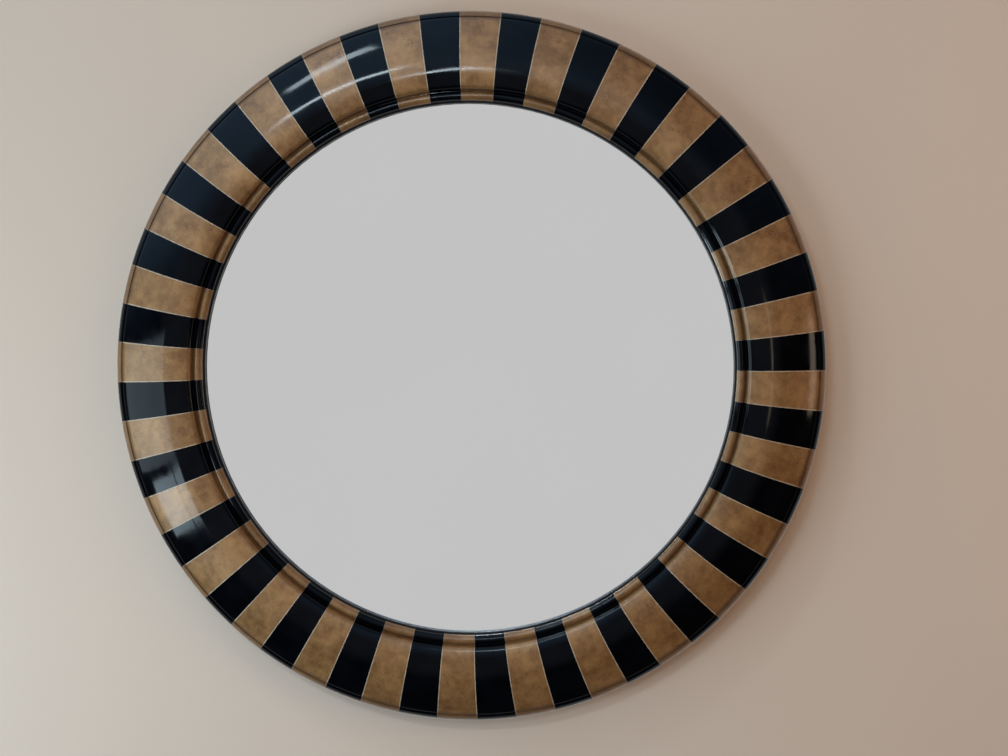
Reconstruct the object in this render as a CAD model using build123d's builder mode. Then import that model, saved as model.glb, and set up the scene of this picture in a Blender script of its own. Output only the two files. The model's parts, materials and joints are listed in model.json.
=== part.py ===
"""Round wall mirror in a wide striped moulding, built as an assembly of separate pieces.

The ring's axis is Y. The viewer stands on the -Y side and the wall is the plane y = 0, which
the four rubber bumpers touch. +Z is up. The origin is on the ring's axis, in the wall plane.
Heights below are measured from the wall plane towards the viewer, and angles run clockwise
from the top as the viewer sees them. All sizes are in millimetres.
"""

from build123d import *
from math import atan2, cos, degrees, hypot, radians, sin
import os

# Moulding seen from the front
outer_radius = 500.0
lip_width = 10.0
dome_width = 103.2
bead_width = 13.3
groove_half_width = 0.8

# Moulding seen in section, heights above its flat back and widths in from its two grooves
edge_round = 3.0
outer_groove_height = 18.0
lip_rise = 0.8
eave_inset = 5.8
eave_rise = 4.5
shoulder_inset = 37.8
shoulder_drop = 7.5
crown_inset = 25.4
crown_height = 45.5
brow_inset = 5.9
brow_drop = 2.9
cheek_inset = 1.2
cheek_drop = 7.9
bead_root = 6.5
bead_rise = 5.2

# Stripes: pairs of a black and a gold wedge, with a pale stringing line in every joint
stripe_pairs = 28
stringing_width = 1.3
first_joint_angle = 5.2
joint_drift = ((1, 1.18, 91.0), (2, 0.19, 140.0), (4, 0.25, 69.0), (5, 0.17, 292.0))

# Glue dowels across the joints
dowel_radius = 4.0
dowel_length = 30.0
dowel_end_gap = 1.0
dowel_height = 18.0
dowel_inset = 35.0

# Glass and what holds it
rabbet_width = 17.5
glass_thickness = 5.0
glass_play = 3.0
glass_edge_ease = 0.8
slip_thickness = 7.0
slip_reveal = 2.6
slip_play = 0.3
slip_edge_round = 1.2
spacer_count = 8
spacer_length = 20.0
spacer_play = 0.1
foam_thickness = 2.0
foam_width = 16.0
board_thickness = 8.0
board_play = 0.5

# Backing ring of arcs, which clamps the board and carries the hangers and bumpers
wall_gap = 8.0
arc_count = 8
arc_thickness = 15.0
arc_setback = 18.0
arc_overlap = 22.5
arc_edge_chamfer = 1.5
arc_joint_shift = 0.25

# Screws, with plain shanks and cross recesses
screw_fit = 0.05
screw_clearance = 0.25
pilot_end_gap = 1.0
screw_tip = 4.0
recess_width = 0.9
recess_length = 4.2
recess_depth = 1.2
segment_screw_radius = 2.0
segment_head_radius = 4.0
segment_head_sink = 0.2
segment_screw_bite = 19.0
segment_screw_inset = 49.0
fixing_screw_radius = 1.9
fixing_head_radius = 3.9
fixing_head_height = 1.9
fixing_head_round = 0.7
fixing_tip_margin = 1.5

# Hangers: a folded strap with a D-ring in its eye, on each side of the top
hanger_inset = 14.0
hanger_angle = 45.0
strap_width = 15.0
strap_layer = 1.2
strap_fold_gap = 0.1
strap_neck = 6.0
strap_end_round = 5.0
strap_end_margin = 6.0
strap_hole_pitch = 17.0
ring_wire_radius = 1.5
ring_eye_play = 0.05
ring_strap_gap = 0.4
ring_bend_radius = 3.5
ring_side_play = 0.5
ring_reach = 25.0
ring_screw_gap = 1.6

# Rubber bumpers
bumper_radius = 11.0
bumper_inset = 19.0
bumper_top_angle = 20.0
bumper_bottom_angle = 45.0
bumper_seat = 3.5
bumper_edge_round = 1.0
bumper_bore_play = 0.6

# Heights that follow from the stack between the wall and the front
arc_back = wall_gap
moulding_back = arc_back + arc_thickness
board_front = moulding_back + board_thickness
glass_back = board_front + foam_thickness
glass_front = glass_back + glass_thickness
slip_front = glass_front + slip_thickness

# Radii that follow from the moulding's widths
outer_groove_radius = outer_radius - lip_width
inner_groove_radius = outer_groove_radius - dome_width
sight_radius = inner_groove_radius - bead_width
rabbet_radius = sight_radius + rabbet_width
glass_radius = rabbet_radius - glass_play
arc_inner_radius = rabbet_radius - arc_overlap
arc_outer_radius = outer_radius - arc_setback
dowel_circle_radius = rabbet_radius + dowel_inset
segment_screw_circle_radius = rabbet_radius + segment_screw_inset
hanger_circle_radius = rabbet_radius + hanger_inset
bumper_circle_radius = rabbet_radius + bumper_inset

# Stripe angles
joint_count = 2 * stripe_pairs
joint_pitch = 360.0 / joint_count
stringing_angle = degrees(stringing_width / dowel_circle_radius)

# Screw lengths
segment_screw_length = arc_thickness - segment_head_sink + segment_screw_bite
strap_thickness = 2 * strap_layer + strap_fold_gap
hanger_screw_length = strap_thickness + arc_thickness - fixing_tip_margin
bumper_screw_length = bumper_seat + arc_thickness - fixing_tip_margin

# Hanger sizes, measured down from the eye that the ring turns in
eye_radius = ring_wire_radius + ring_eye_play
eye_outer_radius = eye_radius + strap_layer
eye_height = arc_back - strap_thickness - ring_strap_gap - ring_wire_radius
first_screw_drop = ring_reach + ring_wire_radius + ring_screw_gap + fixing_head_radius
second_screw_drop = first_screw_drop + strap_hole_pitch
strap_drop = second_screw_drop + strap_end_margin


def radial_plane(angle):
    """Half plane through the ring's axis: x is the radius, y the height above the wall."""
    turn = radians(angle)
    return Plane(origin=(0, 0, 0), x_dir=(sin(turn), 0, cos(turn)), z_dir=(cos(turn), 0, -sin(turn)))


def front_plane(height):
    """Plane parallel to the wall that faces the viewer: x to the right and y up."""
    return Plane(origin=(0, -height, 0), x_dir=(1, 0, 0), z_dir=(0, -1, 0))


def polar_place(radius, angle):
    """Row x and z of a place at a radius and an angle."""
    return radius * sin(radians(angle)), radius * cos(radians(angle))


def rear_plane(radius, angle, height=arc_back):
    """Plane parallel to the wall that faces it, centred on a place of the back."""
    x, z = polar_place(radius, angle)
    return Plane(origin=(x, -height, z), x_dir=(-1, 0, 0), z_dir=(0, 1, 0))


def joint_angle(index):
    """Angle of a joint between stripes. They were laid by hand, so the even pitch drifts."""
    even = index * joint_pitch
    drift = sum(size * cos(radians(waves * even - phase)) for waves, size, phase in joint_drift)
    return first_joint_angle + even + drift


def joint_plane(index):
    """Plane of a joint, centred where its dowel crosses it."""
    plane = radial_plane(joint_angle(index))
    plane.origin = plane.from_local_coords((dowel_circle_radius, moulding_back + dowel_height))
    return plane


def hanger_eye(side):
    """Row x and z of a hanger's eye, on the left (-1) or the right (1)."""
    x, z = polar_place(hanger_circle_radius, side * hanger_angle)
    return x, z + (strap_drop - eye_outer_radius) / 2


def hanger_screw_planes(height):
    """Planes of the hanger screws at a height, two in each strap."""
    planes = []
    for side in (-1, 1):
        x, z = hanger_eye(side)
        for drop in (first_screw_drop, second_screw_drop):
            planes.append(rear_plane(hypot(x, z - drop), degrees(atan2(x, z - drop)), height))
    return planes


def bumper_planes(height):
    """Planes of the bumpers at a height: top left, top right, bottom left, bottom right."""
    angles = (-bumper_top_angle, bumper_top_angle, bumper_bottom_angle - 180, 180 - bumper_bottom_angle)
    return [rear_plane(bumper_circle_radius, angle, height) for angle in angles]


# Section of the moulding: edge, lip, groove, dome, groove, bead and the rabbet for the glass
groove_foot = moulding_back + outer_groove_height
lip_top = (outer_groove_radius + groove_half_width, groove_foot + lip_rise)
dome_foot = (outer_groove_radius - groove_half_width, groove_foot + groove_half_width)
crown = (inner_groove_radius + crown_inset, moulding_back + crown_height)
shoulder = (outer_groove_radius - shoulder_inset, crown[1] - shoulder_drop)
eave = (outer_groove_radius - eave_inset, groove_foot + eave_rise)
brow = (inner_groove_radius + brow_inset, crown[1] - brow_drop)
cheek = (inner_groove_radius + cheek_inset, crown[1] - cheek_drop)
bead_height = slip_front + bead_root
bead_start = (inner_groove_radius - groove_half_width, bead_height)
bead_crest = ((bead_start[0] + sight_radius) / 2, bead_height + bead_rise)
with BuildSketch(radial_plane(0)) as moulding_section:
    with BuildLine():
        Line((rabbet_radius, moulding_back), (outer_radius - edge_round, moulding_back))
        TangentArc(
            (outer_radius - edge_round, moulding_back),
            (outer_radius, moulding_back + edge_round),
            tangent=(1, 0),
        )
        TangentArc((outer_radius, moulding_back + edge_round), lip_top, tangent=(0, 1))
        Polyline(lip_top, (outer_groove_radius, groove_foot), dome_foot)
        fall = TangentArc(crown, shoulder, tangent=(1, 0))
        slope = TangentArc(shoulder, eave, tangent=fall % 1)
        TangentArc(eave, dome_foot, tangent=slope % 1)
        rise = TangentArc(crown, brow, tangent=(-1, 0))
        TangentArc(brow, cheek, tangent=rise % 1)
        Polyline(cheek, (inner_groove_radius, bead_height), bead_start)
        ThreePointArc(bead_start, bead_crest, (sight_radius, bead_height))
        Polyline(
            (sight_radius, bead_height),
            (sight_radius, slip_front),
            (rabbet_radius, slip_front),
            (rabbet_radius, moulding_back),
        )
    make_face()


def wedge_face(angle):
    """Section of the moulding turned to an angle."""
    return moulding_section.sketch.face().rotate(Axis.Y, angle)


# Striped wedges of the moulding
def build_segments(first):
    """Every second wedge, from one stringing line to the next, with dowel and pilot holes."""
    indices = range(first, joint_count, 2)
    with BuildPart() as segments:
        wedges = []
        for index in indices:
            start = joint_angle(index) + stringing_angle / 2
            end = joint_angle(index + 1) - stringing_angle / 2
            wedge = revolve(
                wedge_face(start), axis=Axis.Y, revolution_arc=end - start, mode=Mode.PRIVATE
            )
            wedges.append(wedge)
        add(wedges, clean=False)
        with Locations(*[joint_plane(index) for index in range(joint_count)]):
            Cylinder(dowel_radius, dowel_length + 2 * dowel_end_gap, mode=Mode.SUBTRACT)
        with Locations(*segment_screw_planes(indices, moulding_back)):
            Hole(segment_screw_radius + screw_fit, segment_screw_bite + pilot_end_gap)
    return segments.part


def segment_screw_planes(indices, height):
    """Planes of the screws that hold the wedges, one in the middle of each."""
    angles = [joint_angle(index + 0.5) for index in indices]
    return [rear_plane(segment_screw_circle_radius, angle, height) for angle in angles]


black_segments = build_segments(0)
black_segments.label = "black_segments"
gold_segments = build_segments(1)
gold_segments.label = "gold_segments"

# Pale stringing between the wedges
with BuildPart() as pale_stringing:
    line_faces = [wedge_face(joint_angle(index) - stringing_angle / 2) for index in range(joint_count)]
    revolve(line_faces, axis=Axis.Y, revolution_arc=stringing_angle, clean=False)
    with Locations(*[joint_plane(index) for index in range(joint_count)]):
        Cylinder(dowel_radius, dowel_length, mode=Mode.SUBTRACT)
pale_stringing.part.label = "pale_stringing"

# Dowels
with BuildPart() as joint_dowels:
    with Locations(*[joint_plane(index) for index in range(joint_count)]):
        Cylinder(dowel_radius, dowel_length)
joint_dowels.part.label = "joint_dowels"

# Black slip ring between the moulding and the glass
with BuildPart() as sight_slip:
    with BuildSketch(radial_plane(0)) as slip_section:
        with BuildLine():
            Polyline(
                (sight_radius - slip_reveal, glass_front),
                (rabbet_radius - slip_play, glass_front),
                (rabbet_radius - slip_play, slip_front),
                (sight_radius - slip_reveal, slip_front),
                close=True,
            )
        make_face()
        fillet(slip_section.vertices().group_by(Axis.Y)[-1].sort_by(Axis.X)[0], slip_edge_round)
    revolve(axis=Axis.Y)
sight_slip.part.label = "sight_slip"

# Mirror glass with eased edges
with BuildPart() as mirror_glass:
    with BuildSketch(front_plane(glass_back)):
        Circle(glass_radius)
    extrude(amount=glass_thickness)
    chamfer(mirror_glass.edges().filter_by(GeomType.CIRCLE), glass_edge_ease)
mirror_glass.part.label = "mirror_glass"

# Rubber spacers that centre the glass in the rabbet
spacer_angle = degrees(spacer_length / rabbet_radius)
spacer_inner_radius = glass_radius + spacer_play
spacer_width = glass_play - 2 * spacer_play
with BuildPart() as glass_spacers:
    spacer_faces = []
    for index in range(spacer_count):
        middle = 360.0 * index / spacer_count
        with BuildSketch(radial_plane(middle - spacer_angle / 2), mode=Mode.PRIVATE) as spacer_section:
            with Locations((spacer_inner_radius, board_front)):
                Rectangle(spacer_width, glass_front - board_front, align=(Align.MIN, Align.MIN))
        spacer_faces.append(spacer_section.sketch.face())
    revolve(spacer_faces, axis=Axis.Y, revolution_arc=spacer_angle)
glass_spacers.part.label = "glass_spacers"

# Foam ring between the glass and the board
with BuildPart() as foam_gasket:
    with BuildSketch(front_plane(board_front)):
        Circle(glass_radius)
        Circle(glass_radius - foam_width, mode=Mode.SUBTRACT)
    extrude(amount=foam_thickness)
foam_gasket.part.label = "foam_gasket"

# Backing board behind the glass
with BuildPart() as backing_board:
    with BuildSketch(front_plane(moulding_back)):
        Circle(rabbet_radius - board_play)
    extrude(amount=board_thickness)
backing_board.part.label = "backing_board"


# Backing ring
def arc_joint_index(index):
    """Place of a joint of the backing ring, in stripe joints, always beside a stripe joint."""
    return round(index * joint_count / arc_count) + arc_joint_shift


def build_arc(index):
    """Arc of the backing ring with its countersunk screw holes and the pilot holes that fall in it."""
    start = joint_angle(arc_joint_index(index))
    end = joint_angle(arc_joint_index(index + 1))
    first = int(arc_joint_index(index))
    last = int(arc_joint_index(index + 1))
    fixings = hanger_screw_planes(arc_back) + bumper_planes(arc_back)
    pilots = [plane for plane in fixings if place_is_between(plane.origin, start, end)]
    with BuildPart() as arc:
        with BuildSketch(radial_plane(start)) as arc_section:
            with Locations((arc_inner_radius, arc_back)):
                width = arc_outer_radius - arc_inner_radius
                Rectangle(width, arc_thickness, align=(Align.MIN, Align.MIN))
            chamfer(arc_section.vertices().group_by(Axis.Y)[0], arc_edge_chamfer)
        revolve(axis=Axis.Y, revolution_arc=end - start)
        with Locations(*segment_screw_planes(range(first, last), arc_back)):
            CounterSinkHole(
                segment_screw_radius + screw_clearance,
                segment_head_radius + segment_head_sink + screw_fit,
                counter_sink_angle=90,
            )
        if pilots:
            with Locations(*pilots):
                Hole(fixing_screw_radius + screw_fit, arc_thickness - fixing_tip_margin + screw_fit)
    arc.part.label = f"back_arc_{index + 1}"
    return arc.part


def place_is_between(point, start, end):
    """Whether a place on the back lies between two angles."""
    angle = degrees(atan2(point.X, point.Z))
    return 0 <= (angle - start) % 360 < end - start


back_arcs = [build_arc(index) for index in range(arc_count)]


# Screws
def cut_recess(top):
    """Cross recess in a screw head, from its top down."""
    with BuildSketch(Plane.XY.offset(top)) as recess:
        Rectangle(recess_length, recess_width)
        Rectangle(recess_width, recess_length)
    return recess.sketch


def build_sunk_screw(length):
    """Countersunk screw that points down Z, with the top of its head at zero."""
    head_height = segment_head_radius - segment_screw_radius
    with BuildPart() as screw:
        with BuildSketch(Plane.XZ):
            with BuildLine():
                Polyline(
                    (0, 0),
                    (segment_head_radius, 0),
                    (segment_screw_radius, -head_height),
                    (segment_screw_radius, screw_tip - length),
                    (0, -length),
                    close=True,
                )
            make_face()
        revolve(axis=Axis.Z)
        extrude(cut_recess(0), amount=-recess_depth, mode=Mode.SUBTRACT)
    return screw.part


def build_pan_screw(length):
    """Pan-head screw that points down Z, with the underside of its head at zero."""
    with BuildPart() as screw:
        with BuildSketch(Plane.XZ) as profile:
            with BuildLine():
                Polyline(
                    (0, fixing_head_height),
                    (fixing_head_radius, fixing_head_height),
                    (fixing_head_radius, 0),
                    (fixing_screw_radius, 0),
                    (fixing_screw_radius, screw_tip - length),
                    (0, -length),
                    close=True,
                )
            make_face()
            rim = profile.vertices().group_by(Axis.Y)[-1].sort_by(Axis.X)[-1]
            fillet(rim, fixing_head_round)
        revolve(axis=Axis.Z)
        extrude(cut_recess(fixing_head_height), amount=-recess_depth, mode=Mode.SUBTRACT)
    return screw.part


with BuildPart() as segment_screws:
    with Locations(*segment_screw_planes(range(joint_count), arc_back + segment_head_sink)):
        add(build_sunk_screw(segment_screw_length))
segment_screws.part.label = "segment_screws"

with BuildPart() as hanger_screws:
    with Locations(*hanger_screw_planes(arc_back - strap_thickness)):
        add(build_pan_screw(hanger_screw_length))
hanger_screws.part.label = "hanger_screws"

with BuildPart() as bumper_screws:
    with Locations(*bumper_planes(arc_back - bumper_seat)):
        add(build_pan_screw(bumper_screw_length))
bumper_screws.part.label = "bumper_screws"


# Hangers
def build_strap(side, label):
    """Strap folded round the ring: an eye, a neck and two flat layers with two screw holes."""
    x, z = hanger_eye(side)
    strap_face = arc_back - eye_height
    with BuildPart() as strap:
        side_plane = Plane(origin=(x, -eye_height, z), x_dir=(0, 0, -1), z_dir=(-1, 0, 0))
        with BuildSketch(side_plane):
            with BuildLine():
                CenterArc((0, 0), eye_outer_radius, 0, 360)
                Line((strap_neck, strap_face - strap_thickness), (strap_neck, strap_face))
            make_hull()
            with Locations((strap_neck, strap_face)):
                Rectangle(strap_drop - strap_neck, strap_thickness, align=(Align.MIN, Align.MAX))
            with Locations((strap_drop, strap_face - strap_layer)):
                slit_length = strap_drop - strap_neck
                Rectangle(
                    slit_length, strap_fold_gap, align=(Align.MAX, Align.MAX), mode=Mode.SUBTRACT
                )
            Circle(eye_radius, mode=Mode.SUBTRACT)
        extrude(amount=strap_width / 2, both=True)
        corners = strap.edges().filter_by(Axis.Y).group_by(Axis.Z)[0]
        fillet(corners, strap_end_round)
        drops = [plane for plane in hanger_screw_planes(arc_back - strap_thickness)
                 if plane.origin.X * side > 0]
        with Locations(*drops):
            Hole(fixing_screw_radius + screw_clearance, strap_thickness)
    strap.part.label = label
    return strap.part


def build_ring(side, label):
    """D-ring of round wire that hangs from the strap's eye."""
    x, z = hanger_eye(side)
    bar = strap_width / 2 + ring_side_play
    half_width = bar + ring_bend_radius
    bend_end = half_width - ring_reach
    with BuildPart() as ring:
        ring_plane = Plane(origin=(x, -eye_height, z), x_dir=(1, 0, 0), z_dir=(0, -1, 0))
        with BuildLine(ring_plane):
            Line((-bar, 0), (bar, 0))
            CenterArc((bar, -ring_bend_radius), ring_bend_radius, 90, -90)
            Line((half_width, -ring_bend_radius), (half_width, bend_end))
            CenterArc((0, bend_end), half_width, 0, -180)
            Line((-half_width, bend_end), (-half_width, -ring_bend_radius))
            CenterArc((-bar, -ring_bend_radius), ring_bend_radius, 180, -90)
        with BuildSketch(Plane(origin=(x - bar, -eye_height, z), z_dir=(1, 0, 0))):
            Circle(ring_wire_radius)
        sweep()
    ring.part.label = label
    return ring.part


hanger_pieces = [
    build_strap(-1, "hanger_strap_left"),
    build_strap(1, "hanger_strap_right"),
    build_ring(-1, "d_ring_left"),
    build_ring(1, "d_ring_right"),
]


# Bumpers
def build_bumper(plane, label):
    """Round rubber bumper, counterbored for its screw."""
    bore_radius = fixing_screw_radius + screw_clearance
    counterbore_radius = fixing_head_radius + bumper_bore_play
    with BuildPart() as bumper:
        with BuildSketch(Plane.XZ) as profile:
            with BuildLine():
                Polyline(
                    (bore_radius, 0),
                    (bumper_radius, 0),
                    (bumper_radius, wall_gap),
                    (counterbore_radius, wall_gap),
                    (counterbore_radius, bumper_seat),
                    (bore_radius, bumper_seat),
                    close=True,
                )
            make_face()
            rim = profile.vertices().group_by(Axis.Y)[-1].sort_by(Axis.X)[-1]
            fillet(rim, bumper_edge_round)
        revolve(axis=Axis.Z)
    with BuildPart() as placed_bumper:
        with Locations(plane):
            add(bumper.part)
    placed_bumper.part.label = label
    return placed_bumper.part


bumper_labels = ("bumper_top_left", "bumper_top_right", "bumper_bottom_left", "bumper_bottom_right")
bumpers = [build_bumper(plane, label) for plane, label in zip(bumper_planes(arc_back), bumper_labels)]

# Export, one file for each piece
pieces = [
    black_segments,
    gold_segments,
    pale_stringing.part,
    joint_dowels.part,
    sight_slip.part,
    mirror_glass.part,
    glass_spacers.part,
    foam_gasket.part,
    backing_board.part,
    *back_arcs,
    segment_screws.part,
    hanger_screws.part,
    bumper_screws.part,
    *hanger_pieces,
    *bumpers,
]
os.makedirs("parts", exist_ok=True)
for piece in pieces:
    export_step(piece, f"parts/{piece.label}.step")
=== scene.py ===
"""Round mirror in a striped moulding: the visual model, its materials, stage, lights and camera."""

import json
from math import atan2, cos, hypot, pi, radians, sin

import bpy
from mathutils import Matrix, Vector


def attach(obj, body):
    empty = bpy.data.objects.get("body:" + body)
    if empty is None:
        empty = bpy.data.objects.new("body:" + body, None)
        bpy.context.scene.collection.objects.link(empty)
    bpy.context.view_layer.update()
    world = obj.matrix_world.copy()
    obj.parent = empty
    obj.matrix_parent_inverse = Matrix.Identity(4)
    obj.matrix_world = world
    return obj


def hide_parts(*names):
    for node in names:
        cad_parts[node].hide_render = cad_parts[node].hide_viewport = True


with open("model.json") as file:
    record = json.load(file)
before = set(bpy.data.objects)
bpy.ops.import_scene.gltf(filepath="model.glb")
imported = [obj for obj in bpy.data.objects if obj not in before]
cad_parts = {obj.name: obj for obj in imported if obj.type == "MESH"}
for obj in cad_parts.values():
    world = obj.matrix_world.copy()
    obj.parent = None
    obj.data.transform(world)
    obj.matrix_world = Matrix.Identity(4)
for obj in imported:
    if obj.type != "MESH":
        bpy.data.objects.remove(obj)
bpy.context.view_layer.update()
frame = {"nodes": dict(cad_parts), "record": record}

# Section of the moulding, as radius and height above the wall, in millimetres.
OUTER_RADIUS = 500.0
OUTER_GROOVE = 490.0
INNER_GROOVE = 386.8
SIGHT_RADIUS = 373.5
RABBET_RADIUS = 391.0
MOULDING_BACK = 23.0
RABBET_FLOOR = 45.0
GROOVE_HALF = 0.8
GROOVE_FLOOR = 41.0
EDGE_ROUND = 3.0
LIP_TOP = (OUTER_GROOVE + GROOVE_HALF, 41.8)
DOME_FOOT = (OUTER_GROOVE - GROOVE_HALF, 41.8)
EAVE = (484.2, 45.5)
SHOULDER = (452.2, 61.0)
CROWN = (412.2, 68.5)
BROW = (392.7, 65.6)
CHEEK = (388.0, 60.6)
BEAD_FOOT = 51.5
BEAD_TOP = 56.7
BEAD_STEPS = 14

# The stripes. Angles are in degrees, and the drift of a joint is a sum of (order, size, phase) cosines.
STRIPE_PAIRS = 28
FIRST_JOINT = 5.2
JOINT_DRIFT = ((1, 1.18, 91.0), (2, 0.19, 140.0), (4, 0.25, 69.0), (5, 0.17, 292.0))
STRINGING_ANGLE = 0.1749
WEDGE_STEPS = 8
SHARP_ANGLE = 36.0
SEED_SHIFT = 0.37

# The eight plywood arcs: the angle that each covers, in degrees.
ARC_ANGLE = 45.0


def joint_angle(index):
    """Angle of a stripe joint in degrees, clockwise from the top."""
    even = FIRST_JOINT + index * 180.0 / STRIPE_PAIRS
    drift = sum(size * cos(radians(order * even - phase)) for order, size, phase in JOINT_DRIFT)
    return even + drift


def tangent_arc(start, end, tangent, steps):
    """Points of the arc that leaves start along tangent and ends at end, and its last tangent."""
    length = hypot(*tangent)
    tx, ty = tangent[0] / length, tangent[1] / length
    dx, dy = end[0] - start[0], end[1] - start[1]
    radius = (dx * dx + dy * dy) / (2 * (ty * -dx + tx * dy))
    cx, cy = start[0] - ty * radius, start[1] + tx * radius
    first = atan2(start[1] - cy, start[0] - cx)
    turn = atan2(end[1] - cy, end[0] - cx) - first
    while radius > 0 and turn < 0:
        turn += 2 * pi
    while radius < 0 and turn > 0:
        turn -= 2 * pi
    points = []
    for k in range(1, steps + 1):
        angle = first + turn * k / steps
        points.append((cx + abs(radius) * cos(angle), cy + abs(radius) * sin(angle)))
    return points, (tx * cos(turn) - ty * sin(turn), tx * sin(turn) + ty * cos(turn))


def straight(start, end, steps):
    """Points of a straight run, without start."""
    return [(start[0] + (end[0] - start[0]) * k / steps, start[1] + (end[1] - start[1]) * k / steps)
            for k in range(1, steps + 1)]


def moulding_section():
    """The closed section of the moulding: back, lip, outer groove, dome, bead and rabbet."""
    points = [(RABBET_RADIUS, MOULDING_BACK)]
    points += straight(points[-1], (OUTER_RADIUS - EDGE_ROUND, MOULDING_BACK), 4)
    points += tangent_arc(points[-1], (OUTER_RADIUS, MOULDING_BACK + EDGE_ROUND), (1, 0), 5)[0]
    points += tangent_arc(points[-1], LIP_TOP, (0, 1), 14)[0]
    points += straight(points[-1], (OUTER_GROOVE, GROOVE_FLOOR), 2)
    points += straight(points[-1], DOME_FOOT, 2)
    inner_brow, tangent = tangent_arc(CROWN, BROW, (-1, 0), 12)
    inner_cheek = tangent_arc(BROW, CHEEK, tangent, 9)[0]
    outer_shoulder, tangent = tangent_arc(CROWN, SHOULDER, (1, 0), 14)
    outer_eave, tangent = tangent_arc(SHOULDER, EAVE, tangent, 10)
    outer_foot = tangent_arc(EAVE, DOME_FOOT, tangent, 5)[0]
    outward = [CROWN] + outer_shoulder + outer_eave + outer_foot
    points += outward[::-1][1:]
    points += inner_brow + inner_cheek
    points += straight(points[-1], (INNER_GROOVE, BEAD_FOOT), 4)
    bead_start = (INNER_GROOVE - GROOVE_HALF, BEAD_FOOT)
    points.append(bead_start)
    half = (bead_start[0] - SIGHT_RADIUS) / 2
    rise = BEAD_TOP - BEAD_FOOT
    bead_radius = (half * half + rise * rise) / (2 * rise)
    centre = (SIGHT_RADIUS + half, BEAD_TOP - bead_radius)
    open_angle = atan2(half, bead_radius - rise)
    for k in range(1, BEAD_STEPS + 1):
        angle = open_angle * (1 - 2 * k / BEAD_STEPS)
        points.append((centre[0] + bead_radius * sin(angle), centre[1] + bead_radius * cos(angle)))
    points += straight(points[-1], (SIGHT_RADIUS, RABBET_FLOOR), 2)
    points += straight(points[-1], (RABBET_RADIUS, RABBET_FLOOR), 2)
    points += straight(points[-1], (RABBET_RADIUS, MOULDING_BACK), 2)[:-1]
    return points


def build_stripes(name, spans, steps):
    """One mesh of closed wedges, from spans of (first angle, last angle, seed).

    The attribute place holds the way across the wedge, the way along the section and a shift for each
    wedge, in metres. The attribute zone holds the share of the way from the inner to the outer groove,
    the distance to the nearer joint in millimetres, and the seed.
    """
    section = moulding_section()
    run = [0.0]
    for a, b in zip(section, section[1:]):
        run.append(run[-1] + hypot(b[0] - a[0], b[1] - a[1]))
    count = len(section)
    verts = []
    faces = []
    places = []
    zones = []
    for first, last, seed in spans:
        base = len(verts)
        middle = (first + last) / 2
        for k in range(steps + 1):
            degrees_here = first + (last - first) * k / steps
            angle = radians(degrees_here)
            border = radians(min(degrees_here - first, last - degrees_here))
            for (radius, height), length in zip(section, run):
                metres = radius / 1000
                verts.append((metres * sin(angle), -height / 1000, metres * cos(angle)))
                places.append((metres * radians(degrees_here - middle), length / 1000, seed * SEED_SHIFT))
                share = (radius - INNER_GROOVE) / (OUTER_GROOVE - INNER_GROOVE)
                zones.append((share, metres * border * 1000, seed))
        for k in range(steps):
            low = base + k * count
            high = low + count
            for i in range(count):
                j = (i + 1) % count
                faces.append((low + i, low + j, high + j, high + i))
        faces.append(tuple(base + i for i in reversed(range(count))))
        faces.append(tuple(base + steps * count + i for i in range(count)))
    mesh = bpy.data.meshes.new(name)
    mesh.from_pydata(verts, [], faces)
    for label, rows in (("place", places), ("zone", zones)):
        layer = mesh.attributes.new(label, "FLOAT_VECTOR", "POINT")
        layer.data.foreach_set("vector", [value for row in rows for value in row])
    mesh.shade_smooth()
    mesh.set_sharp_from_angle(angle=radians(SHARP_ANGLE))
    mesh.update()
    piece = bpy.data.objects.new(name, mesh)
    bpy.context.scene.collection.objects.link(piece)
    return piece


# Node helpers for the materials.
FIELD_LOW = 0.3
FIELD_HIGH = 0.7


def new_material(name):
    """An empty node material: the material, its tree and its Principled shader."""
    material = bpy.data.materials.new(name)
    material.use_nodes = True
    tree = material.node_tree
    tree.nodes.clear()
    output = tree.nodes.new("ShaderNodeOutputMaterial")
    shader = tree.nodes.new("ShaderNodeBsdfPrincipled")
    tree.links.new(shader.outputs[0], output.inputs[0])
    return material, tree, shader


def put(tree, kind, inputs, **settings):
    """A node with its settings, and its inputs linked or set."""
    node = tree.nodes.new(kind)
    for key, value in settings.items():
        setattr(node, key, value)
    for key, value in inputs.items():
        if isinstance(value, bpy.types.NodeSocket):
            tree.links.new(value, node.inputs[key])
        else:
            node.inputs[key].default_value = value
    return node


def noise(tree, vector, scale, detail=2.0, rough=0.5, distortion=0.0):
    return put(tree, "ShaderNodeTexNoise", {"Vector": vector, "Scale": scale, "Detail": detail,
                                            "Roughness": rough, "Distortion": distortion}).outputs["Fac"]


def cells(tree, vector, scale, feature="F1"):
    node = put(tree, "ShaderNodeTexVoronoi", {"Vector": vector, "Scale": scale}, feature=feature)
    return node.outputs["Distance"]


def span(tree, value, low, high, to_low=0.0, to_high=1.0):
    """A clamped, smooth map of value from low..high to to_low..to_high."""
    return put(tree, "ShaderNodeMapRange", {"Value": value, "From Min": low, "From Max": high,
                                            "To Min": to_low, "To Max": to_high},
               interpolation_type="SMOOTHSTEP").outputs["Result"]


def spread(tree, field, to_low=0.0, to_high=1.0):
    """The middle of a noise field, where most of its values lie, stretched to to_low..to_high."""
    return span(tree, field, FIELD_LOW, FIELD_HIGH, to_low, to_high)


def calc(tree, operation, first, second):
    return put(tree, "ShaderNodeMath", {0: first, 1: second}, operation=operation).outputs[0]


def plus(tree, first, second):
    return calc(tree, "ADD", first, second)


def times(tree, first, second):
    return calc(tree, "MULTIPLY", first, second)


def larger(tree, first, second):
    return calc(tree, "MAXIMUM", first, second)


def colour(red, green, blue):
    return (red, green, blue, 1.0)


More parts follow.
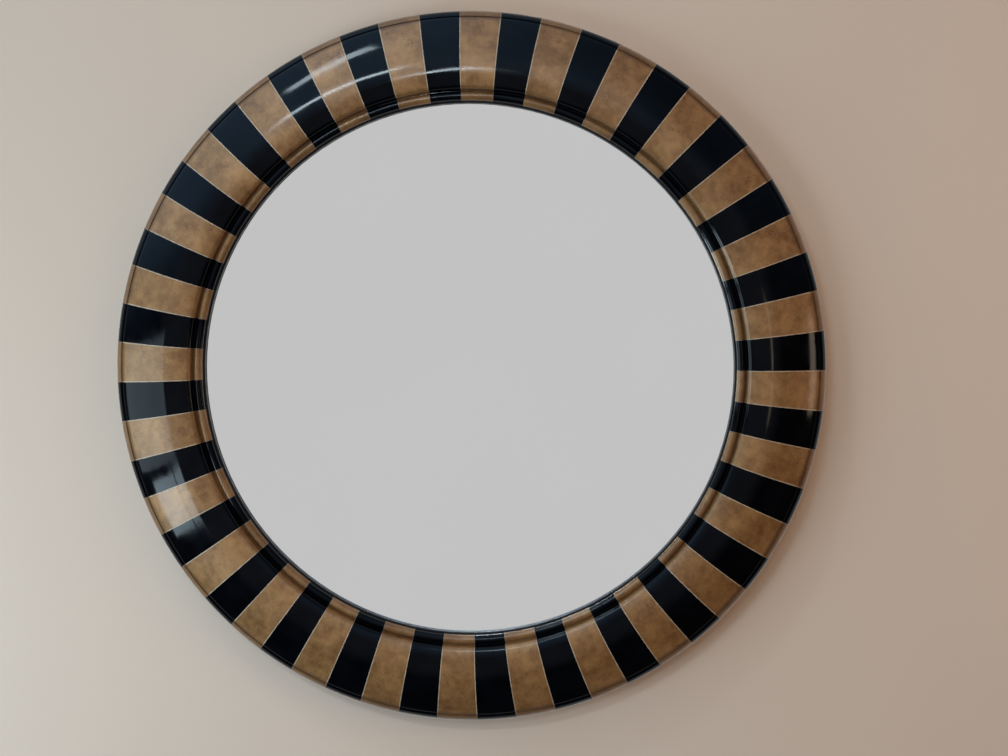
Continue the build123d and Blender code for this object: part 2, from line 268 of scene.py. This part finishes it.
def blend_colour(tree, factor, first, second):
    return put(tree, "ShaderNodeMix", {0: factor, 6: first, 7: second}, data_type="RGBA").outputs[2]


def mottled(tree, field, dark, light):
    """A colour that wanders between dark and light with the middle of a noise field."""
    return blend_colour(tree, spread(tree, field), colour(*dark), colour(*light))


def stretched(tree, vector, turn, scale):
    """The vector turned about Z by degrees and scaled per axis."""
    return put(tree, "ShaderNodeMapping", {"Vector": vector, "Rotation": (0, 0, radians(turn)),
                                           "Scale": scale}).outputs[0]


def attribute(tree, label):
    return put(tree, "ShaderNodeAttribute", {}, attribute_name=label).outputs["Vector"]


def object_place(tree):
    return put(tree, "ShaderNodeTexCoord", {}).outputs["Object"]


def parts_of(tree, vector):
    return put(tree, "ShaderNodeSeparateXYZ", {0: vector}).outputs


def feed(tree, value, shader, socket):
    tree.links.new(value, shader.inputs[socket])


def bump(tree, shader, height, distance, strength):
    node = put(tree, "ShaderNodeBump", {"Height": height, "Distance": distance, "Strength": strength})
    feed(tree, node.outputs[0], shader, "Normal")


# Materials of the moulding.
def gold_marks(tree, place, share):
    """Dark specks and short cracks in patches, with more of the cracks towards the outside."""
    speck_field = span(tree, noise(tree, place, 40.0, 3.0), 0.57, 0.66)
    speck = times(tree, span(tree, cells(tree, place, 270.0), 0.14, 0.26, 1.0, 0.0), speck_field)
    wobble = noise(tree, place, 300.0)
    bent = put(tree, "ShaderNodeVectorMath", {0: place, 1: wobble}, operation="ADD").outputs[0]
    crack_edge = span(tree, cells(tree, bent, 210.0, "DISTANCE_TO_EDGE"), 0.02, 0.11, 1.0, 0.0)
    crack_field = span(tree, noise(tree, place, 44.0, 3.0, 0.6), 0.55, 0.66)
    crack_breaks = span(tree, noise(tree, place, 420.0, 1.0), 0.48, 0.58)
    crack_where = times(tree, crack_field, span(tree, share, 0.3, 0.75, 0.25, 1.0))
    crack = times(tree, times(tree, crack_edge, crack_breaks), crack_where)
    return larger(tree, times(tree, speck, 0.75), times(tree, crack, 0.85))


def gold_material():
    """Worn antique gold: a cloudy ground with crossed hatching, painted shade in the grooves and on the
    lip, dark glazing along the joints, specks and cracks.
    """
    material, tree, shader = new_material("antique_gold")
    place = attribute(tree, "place")
    share, border = parts_of(tree, attribute(tree, "zone"))[:2]
    cloud = noise(tree, place, 26.0, 4.0, 0.62, 0.4)
    blotch = noise(tree, place, 85.0, 4.0, 0.6)
    grit = noise(tree, place, 620.0, 3.0, 0.6)
    hatch_a = noise(tree, stretched(tree, place, 38, (1900.0, 170.0, 10.0)), 1.0, 2.0)
    hatch_b = noise(tree, stretched(tree, place, -44, (1700.0, 150.0, 10.0)), 1.0, 2.0)
    hatch = times(tree, span(tree, hatch_a, 0.3, 0.62), span(tree, hatch_b, 0.3, 0.62))
    tone = plus(tree, span(tree, cloud, 0.32, 0.7, 0.0, 0.62), spread(tree, blotch, 0.0, 0.38))
    ground = blend_colour(tree, tone, colour(0.150, 0.063, 0.018), colour(0.365, 0.192, 0.072))
    worn = blend_colour(tree, times(tree, hatch, 0.24), ground, colour(0.42, 0.255, 0.120))
    grit_share = span(tree, grit, 0.5, 0.74, 0.0, 0.28)
    gritty = blend_colour(tree, grit_share, worn, colour(0.10, 0.046, 0.014))

    # Painted shade darkens both grooves and the lip, where shade falls, and dark glazing lies along the
    # joints. Darker streaks run round the lip.
    # Painted shade in the inner groove and up the cheek, mottled by the blotches.
    inner = span(tree, share, 0.0, 0.10, 0.38, 0.0)
    inner_shade_mottled = times(tree, inner, span(tree, blotch, 0.25, 0.6, 0.75, 1.0))
    # Painted shade towards the outer groove, kept at less than half on the lip.
    outer_shade_rise = span(tree, share, 0.935, 1.0)
    outer = calc(tree, "SUBTRACT", outer_shade_rise, span(tree, share, 1.003, 1.02, 0.0, 0.55))
    edge_glaze = times(tree, span(tree, border, 0.0, 2.2, 0.35, 0.0), spread(tree, blotch))
    shade_and_glaze = larger(tree, larger(tree, inner_shade_mottled, outer), edge_glaze)
    # The painted shade of the grooves and the glazing of the joints darken the colour here.
    with_painted_shade = blend_colour(tree, times(tree, shade_and_glaze, 0.72), gritty, colour(0.060, 0.026, 0.009))
    lip_lines = noise(tree, stretched(tree, place, 0, (20.0, 1500.0, 10.0)), 1.0, 2.0)
    lip_streaks = span(tree, lip_lines, 0.42, 0.58, 0.05, 0.38)
    lip = times(tree, span(tree, share, 1.0, 1.012), lip_streaks)
    lipped = blend_colour(tree, lip, with_painted_shade, colour(0.17, 0.088, 0.034))

    marks = gold_marks(tree, place, share)
    feed(tree, blend_colour(tree, marks, lipped, colour(0.022, 0.010, 0.004)), shader, "Base Color")
    rough = plus(tree, spread(tree, blotch, 0.34, 0.46), times(tree, marks, 0.2))
    feed(tree, rough, shader, "Roughness")
    shader.inputs["Metallic"].default_value = 0.2
    shader.inputs["Specular IOR Level"].default_value = 0.3
    shader.inputs["Coat Weight"].default_value = 0.35
    shader.inputs["Coat Roughness"].default_value = 0.13
    height = calc(tree, "SUBTRACT", times(tree, hatch, 0.4), marks)
    bump(tree, shader, plus(tree, height, times(tree, grit, 0.5)), 0.00012, 0.8)
    return material


def black_material():
    """Black gloss lacquer with faint orange peel and dust."""
    material, tree, shader = new_material("black_lacquer")
    place = attribute(tree, "place")
    blotch = noise(tree, place, 30.0, 3.0)
    peel = noise(tree, place, 150.0, 2.0)
    dust = span(tree, noise(tree, place, 900.0, 2.0), 0.66, 0.8)
    base = mottled(tree, blotch, (0.0008, 0.0010, 0.0018), (0.0018, 0.0023, 0.0038))
    dusty = blend_colour(tree, times(tree, dust, 0.2), base, colour(0.03, 0.03, 0.03))
    feed(tree, dusty, shader, "Base Color")
    rough = plus(tree, spread(tree, blotch, 0.05, 0.10), times(tree, dust, 0.1))
    feed(tree, rough, shader, "Roughness")
    shader.inputs["Specular IOR Level"].default_value = 0.15
    bump(tree, shader, plus(tree, blotch, times(tree, peel, 0.12)), 0.0005, 0.2)
    return material


def pale_material():
    """The pale line in the joints, with painted shade over its two ends, where they meet the grooves."""
    material, tree, shader = new_material("pale_line")
    place = attribute(tree, "place")
    share = parts_of(tree, attribute(tree, "zone"))[0]
    blotch = noise(tree, place, 120.0, 3.0)
    base = mottled(tree, blotch, (0.31, 0.235, 0.165), (0.47, 0.375, 0.275))
    # Painted shade over the two ends of the line, at the inner and outer grooves.
    inner = span(tree, share, -0.01, 0.1, 0.75, 0.0)
    outer = span(tree, share, 0.95, 1.0, 0.0, 0.75)
    with_painted_shade = blend_colour(tree, larger(tree, inner, outer), base, colour(0.11, 0.055, 0.022))
    feed(tree, with_painted_shade, shader, "Base Color")
    feed(tree, spread(tree, blotch, 0.35, 0.5), shader, "Roughness")
    bump(tree, shader, blotch, 0.0002, 0.5)
    return material


# Materials of the glass and of what is behind it.
def slip_material():
    material, tree, shader = new_material("black_slip")
    here = object_place(tree)
    field = noise(tree, here, 40.0, 3.0)
    base = blend_colour(tree, field, colour(0.003, 0.003, 0.004), colour(0.010, 0.010, 0.012))
    feed(tree, base, shader, "Base Color")
    feed(tree, spread(tree, noise(tree, here, 90.0, 3.0), 0.28, 0.40), shader, "Roughness")
    shader.inputs["Specular IOR Level"].default_value = 0.3
    bump(tree, shader, noise(tree, here, 60.0, 2.0), 0.0002, 0.1)
    return material


def mirror_material():
    """Silvered glass, so sharp that its reflection counts as singular and shows the plain pale room."""
    material, tree, shader = new_material("mirror")
    here = object_place(tree)
    field = noise(tree, here, 3.0, 2.0)
    base = blend_colour(tree, field, colour(0.90, 0.905, 0.90), colour(0.93, 0.935, 0.93))
    feed(tree, base, shader, "Base Color")
    shader.inputs["Metallic"].default_value = 1.0
    feed(tree, spread(tree, noise(tree, here, 9.0, 3.0), 0.0, 0.003), shader, "Roughness")
    return material


def plywood_material(turn):
    """Birch plywood whose grain runs along the tangent at that many degrees clockwise from the top."""
    material, tree, shader = new_material("birch_plywood_%03d" % round(turn))
    fixed = object_place(tree)
    here = put(tree, "ShaderNodeMapping", {"Vector": fixed, "Location": (turn * 0.07, 0, 0),
                                           "Rotation": (0, radians(-turn), 0)}).outputs[0]
    grain = noise(tree, stretched(tree, here, 0, (7.0, 40.0, 260.0)), 1.0, 5.0, 0.6, 0.3)
    figure = noise(tree, stretched(tree, here, 0, (3.0, 8.0, 26.0)), 1.0, 3.0, 0.5, 1.2)
    face = mottled(tree, figure, (0.50, 0.345, 0.195), (0.64, 0.475, 0.30))
    grain_share = span(tree, grain, 0.45, 0.75, 0.0, 0.5)
    grained = blend_colour(tree, grain_share, face, colour(0.36, 0.225, 0.115))

    # The plies show as bands on the sawn edges.
    depth = parts_of(tree, fixed)[1]
    ply = calc(tree, "PINGPONG", depth, 0.0015)
    normal = parts_of(tree, put(tree, "ShaderNodeNewGeometry", {}).outputs["True Normal"])[1]
    on_edge = calc(tree, "LESS_THAN", calc(tree, "ABSOLUTE", normal, 0.0), 0.6)
    band = times(tree, span(tree, ply, 0.00055, 0.00085), on_edge)
    banded = blend_colour(tree, times(tree, band, 0.6), grained, colour(0.27, 0.155, 0.075))
    feed(tree, banded, shader, "Base Color")
    feed(tree, spread(tree, grain, 0.5, 0.66), shader, "Roughness")
    bump(tree, shader, grain, 0.0003, 0.6)
    return material


def board_material():
    """The brown fibres of a hardboard face."""
    material, tree, shader = new_material("backing_board")
    here = object_place(tree)
    fibre = noise(tree, stretched(tree, here, 0, (260.0, 260.0, 900.0)), 1.0, 4.0, 0.65, 0.6)
    cloud = noise(tree, here, 12.0, 4.0, 0.6)
    base = mottled(tree, cloud, (0.17, 0.098, 0.052), (0.235, 0.145, 0.082))
    fibre_share = span(tree, fibre, 0.5, 0.72, 0.0, 0.6)
    feed(tree, blend_colour(tree, fibre_share, base, colour(0.34, 0.235, 0.14)), shader, "Base Color")
    feed(tree, spread(tree, fibre, 0.55, 0.72), shader, "Roughness")
    bump(tree, shader, fibre, 0.0003, 0.6)
    return material


def beech_material():
    material, tree, shader = new_material("beech")
    here = object_place(tree)
    grain = noise(tree, stretched(tree, here, 0, (60.0, 900.0, 60.0)), 1.0, 4.0)
    feed(tree, mottled(tree, grain, (0.48, 0.31, 0.17), (0.64, 0.46, 0.29)), shader, "Base Color")
    feed(tree, spread(tree, grain, 0.5, 0.65), shader, "Roughness")
    return material


def rubber_material():
    material, tree, shader = new_material("rubber")
    here = object_place(tree)
    grain = noise(tree, here, 900.0, 3.0)
    cloud = noise(tree, here, 120.0, 3.0)
    feed(tree, mottled(tree, cloud, (0.018, 0.018, 0.019), (0.042, 0.041, 0.040)), shader, "Base Color")
    feed(tree, spread(tree, cloud, 0.55, 0.75), shader, "Roughness")
    bump(tree, shader, grain, 0.0002, 0.6)
    return material


def foam_material():
    material, tree, shader = new_material("foam")
    pores = cells(tree, object_place(tree), 900.0)
    pore_share = span(tree, pores, 0.2, 0.6)
    base = blend_colour(tree, pore_share, colour(0.05, 0.05, 0.05), colour(0.14, 0.14, 0.14))
    feed(tree, base, shader, "Base Color")
    shader.inputs["Roughness"].default_value = 0.9
    bump(tree, shader, pores, 0.0003, 0.6)
    return material


def zinc_material():
    material, tree, shader = new_material("zinc_steel")
    here = object_place(tree)
    spangle = cells(tree, here, 260.0)
    cloud = noise(tree, here, 90.0, 3.0)
    feed(tree, mottled(tree, cloud, (0.52, 0.52, 0.50), (0.70, 0.69, 0.66)), shader, "Base Color")
    shader.inputs["Metallic"].default_value = 1.0
    feed(tree, span(tree, spangle, 0.1, 0.7, 0.26, 0.42), shader, "Roughness")
    bump(tree, shader, noise(tree, here, 700.0, 2.0), 0.0001, 0.4)
    return material


materials = {
    "antique_gold": gold_material(),
    "black_lacquer": black_material(),
    "pale_line": pale_material(),
    "black_slip": slip_material(),
    "mirror": mirror_material(),
    "backing_board": board_material(),
    "beech": beech_material(),
    "rubber": rubber_material(),
    "foam": foam_material(),
    "zinc_steel": zinc_material(),
}

# The striped moulding, in place of the CAD wedges and lines.
half_line = STRINGING_ANGLE / 2
joints = [joint_angle(i) for i in range(2 * STRIPE_PAIRS + 1)]
wedge_spans = [(a + half_line, b - half_line, i) for i, (a, b) in enumerate(zip(joints, joints[1:]))]
line_spans = [(a - half_line, a + half_line, i) for i, a in enumerate(joints[:-1])]
stripes = (
    ("black_stripes", "black_segments", "black_lacquer", wedge_spans[0::2], WEDGE_STEPS),
    ("gold_stripes", "gold_segments", "antique_gold", wedge_spans[1::2], WEDGE_STEPS),
    ("pale_lines", "pale_stringing", "pale_line", line_spans, 1),
)
for name, node, slot, spans, steps in stripes:
    piece = build_stripes(name, spans, steps)
    piece.data.materials.append(materials[slot])
    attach(piece, "frame")
    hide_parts(node)

# The CAD nodes that keep their shapes get the material of their slot. The number that ends the name of a
# plywood arc gives the arc's place, clockwise from the top.
replaced = {row[1] for row in stripes}
for subpart in frame["record"]["subparts"]:
    node = subpart["node"]
    if node in replaced:
        continue
    if subpart["material_slot"] == "birch_plywood":
        finish = plywood_material(ARC_ANGLE * (int(node[-1]) - 0.5))
    else:
        finish = materials[subpart["material_slot"]]
    for material_slot in frame["nodes"][node].material_slots:
        material_slot.material = finish

# Stage: a painted wall seen from the front only, and a plain pale floor.
WALL_HALF = 4.0
WALL_PLACE = 0.001
FLOOR_LEVEL = -1.7


def flat_plane(name, corners, material):
    mesh = bpy.data.meshes.new(name)
    mesh.from_pydata(corners, [], [(0, 1, 2, 3)])
    mesh.materials.append(material)
    plane = bpy.data.objects.new(name, mesh)
    bpy.context.scene.collection.objects.link(plane)
    return plane


def wall_material():
    """Rolled wall paint that is clear from behind."""
    material, tree, shader = new_material("wall_paint")
    here = object_place(tree)
    roller = noise(tree, here, 240.0, 3.0)
    cloud = noise(tree, here, 1.5, 2.0)
    base = blend_colour(tree, cloud, colour(0.595, 0.500, 0.432), colour(0.630, 0.530, 0.456))
    feed(tree, base, shader, "Base Color")
    shader.inputs["Roughness"].default_value = 0.8
    shader.inputs["Specular IOR Level"].default_value = 0.2
    bump(tree, shader, roller, 0.0002, 0.3)
    clear = tree.nodes.new("ShaderNodeBsdfTransparent")
    facing = put(tree, "ShaderNodeNewGeometry", {}).outputs["Backfacing"]
    both = put(tree, "ShaderNodeMixShader", {0: facing, 1: shader.outputs[0], 2: clear.outputs[0]})
    tree.links.new(both.outputs[0], tree.nodes["Material Output"].inputs[0])
    return material


def floor_material():
    material, tree, shader = new_material("pale_floor")
    shader.inputs["Base Color"].default_value = colour(0.80, 0.78, 0.75)
    shader.inputs["Roughness"].default_value = 0.7
    return material


wall_corners = [(-WALL_HALF, WALL_PLACE, FLOOR_LEVEL), (WALL_HALF, WALL_PLACE, FLOOR_LEVEL),
                (WALL_HALF, WALL_PLACE, WALL_HALF), (-WALL_HALF, WALL_PLACE, WALL_HALF)]
wall = flat_plane("wall", wall_corners, wall_material())
wall.visible_diffuse = False
wall.visible_glossy = False
wall.visible_transmission = False
wall.visible_shadow = False
floor_corners = [(-WALL_HALF, -WALL_HALF, FLOOR_LEVEL), (WALL_HALF, -WALL_HALF, FLOOR_LEVEL),
                 (WALL_HALF, WALL_HALF, FLOOR_LEVEL), (-WALL_HALF, WALL_HALF, FLOOR_LEVEL)]
floor = flat_plane("floor", floor_corners, floor_material())
floor.visible_diffuse = False
floor.visible_glossy = False


def area_light(name, place, target, size, radiance, tint, roll=0.0, glossy=True):
    """A rectangular lamp at place that faces target, with its long side rolled by degrees."""
    light = bpy.data.lights.new(name, "AREA")
    light.shape = "RECTANGLE"
    light.size, light.size_y = size
    light.energy = radiance * pi * size[0] * size[1]
    light.color = tint
    lamp = bpy.data.objects.new(name, light)
    aim = (Vector(target) - Vector(place)).to_track_quat("-Z", "Y").to_matrix().to_4x4()
    lamp.matrix_world = Matrix.Translation(place) @ aim @ Matrix.Rotation(radians(roll), 4, "Z")
    lamp.visible_camera = False
    lamp.visible_glossy = glossy
    bpy.context.scene.collection.objects.link(lamp)


DAYLIGHT = (0.76, 0.91, 1.0)
SKYLIGHT = (0.68, 0.88, 1.0)
PALE_SKY = (0.66, 0.92, 1.0)
WARM = (1.0, 0.80, 0.62)
AMBER = (1.0, 0.66, 0.42)
SANDY = (1.0, 0.84, 0.68)
NEUTRAL = (1.0, 0.98, 0.95)

# Daylight through low panes on the left and through high strips, which the moulding mirrors.
area_light("pane_low_near", (-1.43, -0.85, -0.69), (0.0, -0.85, -0.69), (0.84, 0.30), 11.5, SKYLIGHT)
area_light("pane_low_far", (-1.43, -1.73, -0.69), (0.0, -1.73, -0.69), (0.78, 0.30), 11.5, SKYLIGHT)
area_light("pane_dim", (-1.43, -1.13, -0.21), (0.0, -1.13, -0.21), (1.74, 0.55), 3.6, SKYLIGHT)
area_light("strip_high_right", (-0.24, -3.0, 0.93), (-0.24, 0.0, 0.93), (0.36, 0.10), 50.0, DAYLIGHT,
           roll=49.0)
area_light("strip_high_left", (-1.02, -3.0, 1.56), (-1.02, 0.0, 1.56), (0.85, 0.20), 42.0, DAYLIGHT,
           roll=6.0)
area_light("strip_ceiling", (-1.22, -1.29, 2.2), (-1.22, -1.29, 0.0), (0.92, 0.18), 24.0, DAYLIGHT,
           roll=22.0)

# Soft fills that only light: sky from the left, the bounce of the floor, the warm side and the back.
area_light("sky_fill", (-2.2, -1.2, 1.2), (-0.7, 0.0, 0.5), (0.8, 0.8), 3.8, PALE_SKY, glossy=False)
area_light("floor_bounce", (0.5, -0.4, -1.6), (0.1, 0.0, -0.4), (1.2, 0.3), 0.9, SANDY, glossy=False)
area_light("warm_fill", (1.9, -1.3, 0.4), (0.5, 0.0, 0.0), (1.0, 1.0), 2.4, AMBER, glossy=False)
area_light("back_fill", (0.5, 3.0, 0.9), (0.0, 0.0, 0.0), (1.4, 1.0), 5.0, NEUTRAL, glossy=False)

# Warm lamps on the right.
area_light("lamp_far", (1.26, -2.95, -0.1), (0.0, 0.0, 0.0), (0.12, 0.60), 5.0, WARM)
area_light("lamp_near", (2.3, -0.82, -0.05), (0.0, -0.82, -0.05), (0.20, 0.70), 6.0, WARM)

# The room. It lights the object warmly and a little more from above. The glass and what looks back past
# the wall see it plain and pale, and other gloss sees it dim, with a grey end and a blue glow above.
PALE = colour(0.585, 0.585, 0.585)
DIM = colour(0.02, 0.02, 0.02)
END_GREY = colour(0.28, 0.28, 0.32)
CEILING_BLUE = colour(0.62, 1.05, 1.6)
LEFT_TINT = colour(0.95, 0.83, 0.72)
RIGHT_TINT = colour(1.0, 0.70, 0.49)
ROOM_END = (-0.06, -0.997, -0.04)

world = bpy.data.worlds.new("room")
bpy.context.scene.world = world
world.use_nodes = True
room = world.node_tree
room.nodes.clear()
heading = put(room, "ShaderNodeTexCoord", {}).outputs["Generated"]
x_way, y_way, z_way = parts_of(room, heading)[:3]
path = room.nodes.new("ShaderNodeLightPath")
side_tint = blend_colour(room, span(room, x_way, -0.6, 0.6), LEFT_TINT, RIGHT_TINT)
glow_strength = span(room, z_way, -0.5, 0.7, 0.09, 0.48)
glow = put(room, "ShaderNodeBackground", {"Color": side_tint, "Strength": glow_strength})
towards_end = put(room, "ShaderNodeVectorMath", {0: heading, 1: ROOM_END}, operation="DOT_PRODUCT")
at_end = span(room, towards_end.outputs["Value"], 0.78, 0.965)
corner = blend_colour(room, at_end, DIM, END_GREY)
ceiling_glow = times(room, span(room, z_way, 0.0, 0.4), span(room, x_way, -0.35, 0.6, 1.0, 0.12))
dim = blend_colour(room, ceiling_glow, corner, CEILING_BLUE)
pale_side = larger(room, path.outputs["Is Singular Ray"], span(room, y_way, 0.0, 0.1))
gloss_colour = blend_colour(room, pale_side, dim, PALE)
gloss = put(room, "ShaderNodeBackground", {"Color": gloss_colour, "Strength": 1.0})
shown = put(room, "ShaderNodeBackground", {"Color": PALE, "Strength": 1.0})
lit = put(room, "ShaderNodeMixShader", {0: path.outputs["Is Glossy Ray"], 1: glow.outputs[0],
                                        2: gloss.outputs[0]})
seen = larger(room, path.outputs["Is Camera Ray"], path.outputs["Is Transmission Ray"])
either = put(room, "ShaderNodeMixShader", {0: seen, 1: lit.outputs[0], 2: shown.outputs[0]})
surface = room.nodes.new("ShaderNodeOutputWorld")
room.links.new(either.outputs[0], surface.inputs[0])

# Camera: a long normal lens a little above and to the right of the axis. Angles are in radians.
CAMERA_PLACE = Vector((0.1225, -2.1567, 0.1010))
CAMERA_YAW = -0.0343
CAMERA_PITCH = -0.0529
SENSOR_WIDTH = 36.0
FOCAL_LENGTH = 54.07
level = cos(CAMERA_PITCH)
forward = Vector((sin(CAMERA_YAW) * level, cos(CAMERA_YAW) * level, sin(CAMERA_PITCH)))
rightward = Vector((cos(CAMERA_YAW), -sin(CAMERA_YAW), 0.0))
upward = rightward.cross(forward)
lens = bpy.data.cameras.new("camera")
lens.sensor_width = SENSOR_WIDTH
lens.lens = FOCAL_LENGTH
camera = bpy.data.objects.new("camera", lens)
turned = Matrix((rightward, upward, -forward)).transposed().to_4x4()
camera.matrix_world = Matrix.Translation(CAMERA_PLACE) @ turned
bpy.context.scene.collection.objects.link(camera)
bpy.context.scene.camera = camera
bpy.context.scene.view_settings.view_transform = "Standard"
